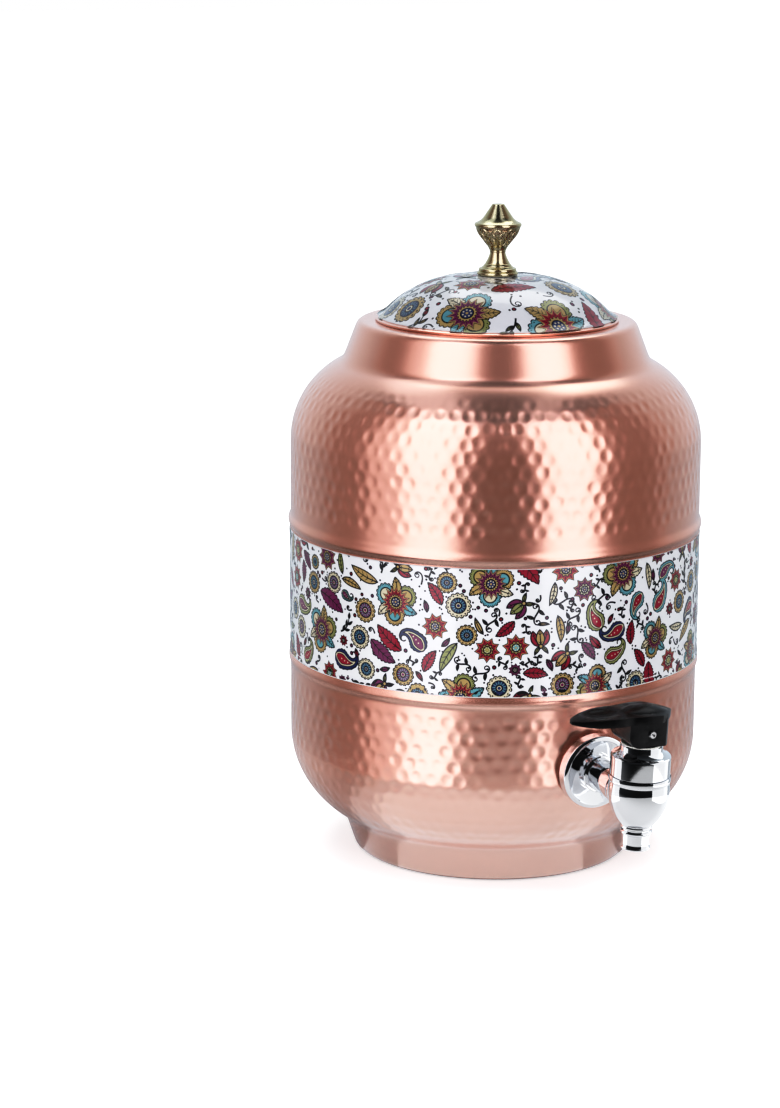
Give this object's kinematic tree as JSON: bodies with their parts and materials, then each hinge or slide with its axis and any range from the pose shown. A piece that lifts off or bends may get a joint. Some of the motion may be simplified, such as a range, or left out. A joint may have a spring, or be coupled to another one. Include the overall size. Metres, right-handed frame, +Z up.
{
  "type": "drink dispenser",
  "caption": "Barrel-shaped copper water dispenser with a printed band, a domed lift-off lid with a turned knob, and a small chromed tap worked by a lever.",
  "frame": {"origin": "centre of the foot, on the plane it stands on", "axes": "+Z up along the barrel's axis, the tap stands towards -Y"},
  "size_m": [0.1822, 0.2345, 0.2866],
  "materials": {
    "copper": "satin spun copper, hammered above and below the band",
    "print_film": "white printed film under clear lacquer",
    "brass": "polished turned brass",
    "chrome": "polished chrome plate",
    "black_plastic": "black moulded plastic",
    "steel": "stainless steel",
    "rubber": "silicone rubber",
    "nylon": "plain nylon"
  },
  "bodies": {
    "vessel": {"lower_shell": "copper", "upper_shell": "copper", "base_plate": "copper", "band_print": "print_film", "tap_flange": "chrome", "outer_seal": "rubber", "inner_seal": "rubber", "steel_washer": "steel", "lock_nut": "chrome", "tap_body": "chrome", "nozzle": "chrome", "bonnet": "chrome", "bonnet_seal": "rubber", "stem_ring": "rubber", "return_spring": "steel"},
    "lid": {"lid_shell": "copper", "lid_print": "print_film", "lid_collar": "copper", "knob": "brass", "knob_washer": "steel", "knob_screw": "steel"},
    "turntable": {"glide_washer": "nylon"},
    "stem": {"valve_stem": "steel", "lever_pin": "steel", "valve_plug": "rubber", "plug_washer": "steel"},
    "lever": {"lever": "black_plastic"}
  },
  "joints": [
    {"name": "lid_lift", "type": "slide", "parent": "vessel", "child": "lid", "axis": [0, 0, 1], "range_m": [0, 0.06]},
    {"name": "lever_swivel", "type": "hinge", "parent": "vessel", "child": "turntable", "pos_m": [0, -0.13142, 0.07852], "axis": [0, -0.0785, 0.9969], "continuous": true},
    {"name": "stem_lift", "type": "slide", "parent": "turntable", "child": "stem", "axis": [0, -0.0785, 0.9969], "range_m": [0, 0.0019], "stiffness_N_per_m": 800, "springref_m": -0.004, "deforming": ["return_spring"]},
    {"name": "lever_tilt", "type": "hinge", "parent": "stem", "child": "lever", "pos_m": [0, -0.13191, 0.0847], "axis": [0, -0.9969, -0.0785], "range_deg": [0, 22]}
  ],
  "couplings": [
    {"joint": "lever_tilt", "follows": "stem_lift", "rad_per_m": 200}
  ]
}
